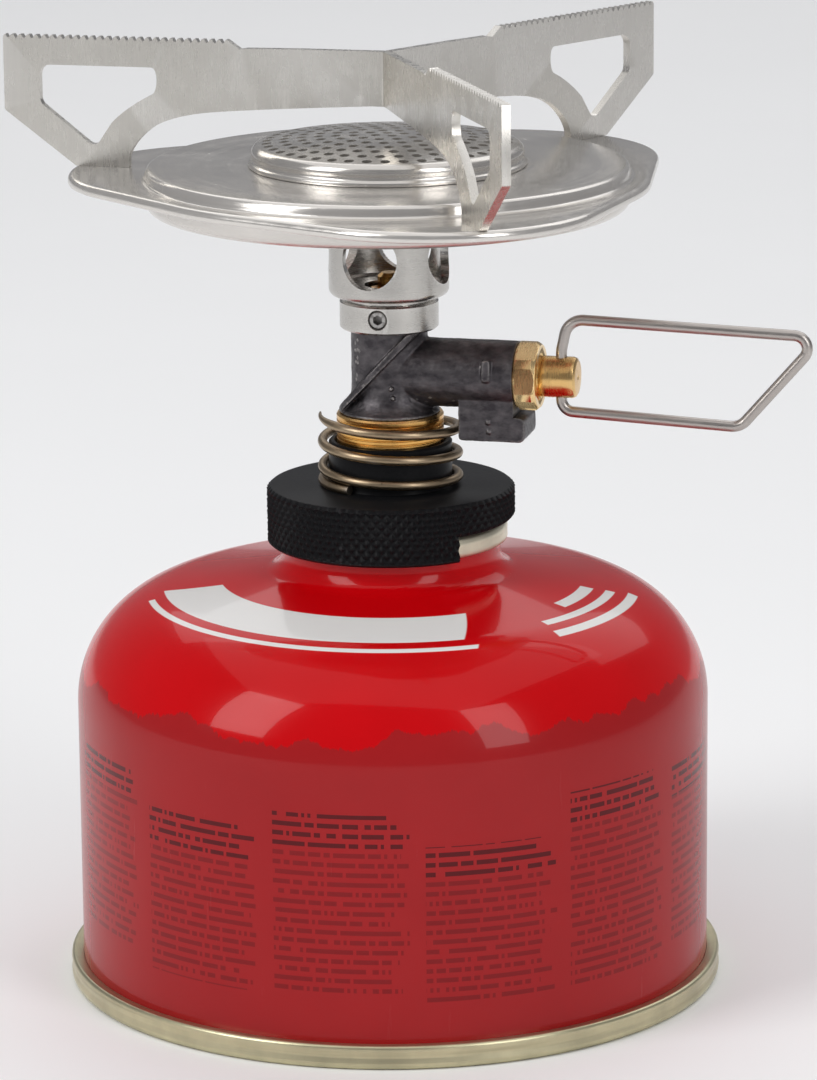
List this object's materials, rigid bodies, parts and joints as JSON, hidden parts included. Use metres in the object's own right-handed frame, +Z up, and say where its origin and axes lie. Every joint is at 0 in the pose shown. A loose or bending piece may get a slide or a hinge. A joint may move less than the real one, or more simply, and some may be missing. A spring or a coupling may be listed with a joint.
{
  "type": "canister stove",
  "caption": "Upright gas canister stove with fixed serrated pot supports, perforated burner, wire valve handle and knurled locking collar, on a short gas canister.",
  "frame": {"origin": "centre of the canister's base rim, on the plane it stands on", "axes": "+Z up along the canister's axis, +X along the valve spindle towards the wire handle"},
  "size_m": [0.1116, 0.0934, 0.129],
  "materials": {
    "can_paint": "gloss",
    "can_rim": "lacquered",
    "tinplate": "satin",
    "rubber": "matte",
    "boss_steel": "satin",
    "white_plastic": "matte",
    "spring_steel": "satin",
    "brass": "machined",
    "casting": "cast, blackened",
    "burner_steel": "polished sheet",
    "cap_steel": "perforated sheet",
    "arm_steel": "brushed sheet",
    "screw_steel": "machined",
    "bronze_wire": "satin bronze-coloured wire",
    "black_anodised": "anodised, knurled",
    "handle_wire": "satin wire"
  },
  "bodies": {
    "canister": {"can_shell": "can_paint", "can_base": "can_rim", "valve_cup": "tinplate", "cup_gasket": "rubber", "threaded_boss": "boss_steel", "can_valve_housing": "white_plastic", "stem_gasket": "rubber", "stem_spring": "spring_steel"},
    "can_valve": {"valve_stem": "white_plastic"},
    "thread_seal": {"inlet_seal": "rubber"},
    "stove": {"neck_sleeve": "brass", "depressor_pin": "brass", "inlet_filter": "brass", "collar_clip": "spring_steel", "valve_body": "casting", "gland_nut": "brass", "jet": "brass", "mixing_tube": "burner_steel", "set_screw": "screw_steel", "burner_pan": "burner_steel", "mixing_baffle": "burner_steel", "burner_plate": "burner_steel", "burner_cap": "cap_steel", "pot_support_v_strip": "arm_steel", "pot_support_single_arm": "arm_steel"},
    "spring": {"collar_spring": "bronze_wire"},
    "collar": {"lock_collar": "black_anodised"},
    "spindle_seal": {"spindle_o_ring": "rubber"},
    "spindle": {"spindle": "brass"},
    "handle": {"wire_handle": "handle_wire"}
  },
  "joints": [
    {"name": "stem_rise", "type": "slide", "parent": "canister", "child": "can_valve", "axis": [0, 0, 1], "range_m": [0, 0.002], "deforming": ["stem_spring"]},
    {"name": "stove_rise", "type": "slide", "parent": "canister", "child": "thread_seal", "axis": [0, 0, 1], "range_m": [0, 0.00635]},
    {"name": "stove_unscrew", "type": "hinge", "parent": "thread_seal", "child": "stove", "pos_m": [0, 0, 0.0605], "axis": [0, 0, 1], "range_deg": [0, 2520]},
    {"name": "collar_turn", "type": "hinge", "parent": "stove", "child": "spring", "pos_m": [0, 0, 0.0688], "axis": [0, 0, 1], "continuous": true},
    {"name": "collar_lift", "type": "slide", "parent": "spring", "child": "collar", "axis": [0, 0, 1], "range_m": [0, 0.003], "stiffness_N_per_m": 250, "springref_m": -0.004, "deforming": ["collar_spring"]},
    {"name": "spindle_travel", "type": "slide", "parent": "stove", "child": "spindle_seal", "axis": [1, 0, 0], "range_m": [0, 0.001]},
    {"name": "flame_valve", "type": "hinge", "parent": "spindle_seal", "child": "spindle", "pos_m": [0.02, 0, 0.0845], "axis": [1, 0, 0], "range_deg": [0, 720]},
    {"name": "handle_fold", "type": "hinge", "parent": "spindle", "child": "handle", "pos_m": [0.02383, 0, 0.0845], "axis": [0, 0, 1], "range_deg": [-90, 90]}
  ],
  "couplings": [
    {"joint": "stove_rise", "follows": "stove_unscrew", "m_per_rad": 0.00014438},
    {"joint": "stem_rise", "follows": "stove_unscrew", "m_per_rad": 0.000045473},
    {"joint": "spindle_travel", "follows": "flame_valve", "m_per_rad": 0.000079577}
  ]
}
